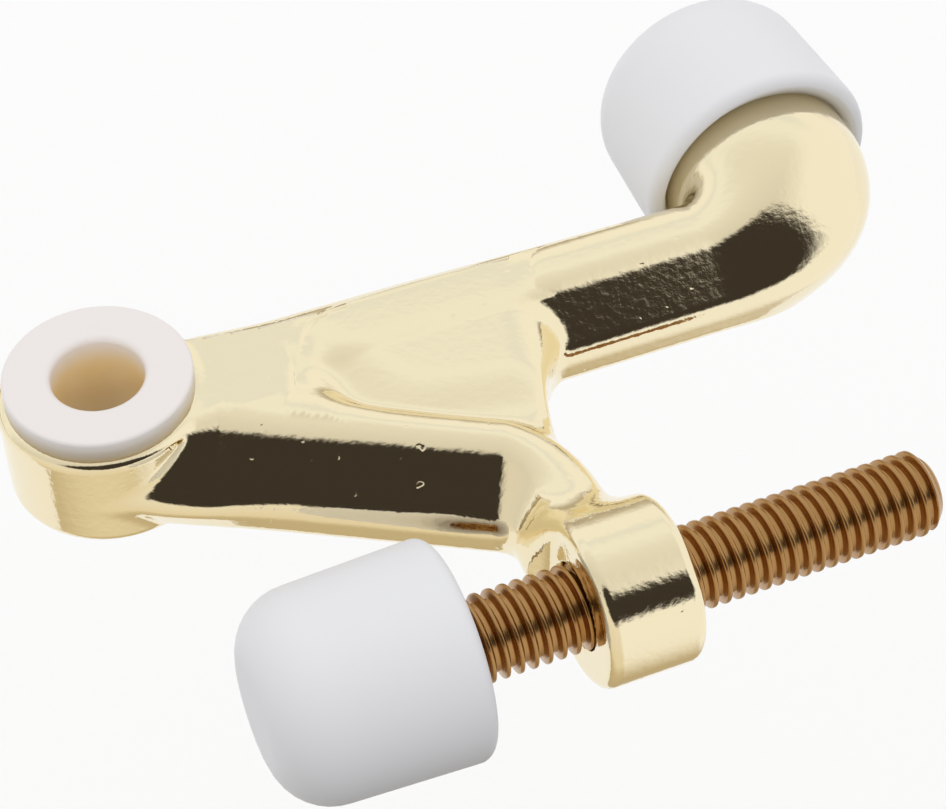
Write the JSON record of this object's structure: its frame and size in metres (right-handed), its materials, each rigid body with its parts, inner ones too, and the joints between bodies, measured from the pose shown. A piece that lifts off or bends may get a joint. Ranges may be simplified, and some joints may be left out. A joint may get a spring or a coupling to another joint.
{
  "type": "hinge pin door stop",
  "caption": "Hinge pin door stop: cast brass-plated body with a bushed eye, a long arm ending in a rubber tip and a short arm whose ring carries a threaded adjusting screw with a rubber tip.",
  "frame": {"origin": "on the hinge pin's axis at half the thickness of the casting's eye", "axes": "+Z along the hinge pin towards the bush's flange, +X along the long arm, +Y the way the fixed rubber tip points"},
  "size_m": [0.0712, 0.0542, 0.0186],
  "materials": {
    "brass_plate": "bright polished plate on a die casting",
    "nylon": "milky satin moulding",
    "white_rubber": "matt moulded rubber",
    "bronze_screw": "dull bronze plate on a rolled thread"
  },
  "bodies": {
    "stop": {"stop_body": "brass_plate", "hinge_pin_bush": "nylon", "fixed_rubber_tip": "white_rubber"},
    "screw_tip": {"screw_rubber_tip": "white_rubber"},
    "screw": {"adjusting_screw": "bronze_screw"}
  },
  "joints": [
    {"name": "screw_travel", "type": "slide", "parent": "stop", "child": "screw_tip", "axis": [1, 0, 0], "range_m": [-0.018, 0.002]},
    {"name": "screw_turn", "type": "hinge", "parent": "screw_tip", "child": "screw", "pos_m": [0.028, -0.0271, 0], "axis": [1, 0, 0], "range_deg": [-6516, 756]}
  ],
  "couplings": [
    {"joint": "screw_turn", "follows": "screw_travel", "rad_per_m": 6283.2}
  ]
}
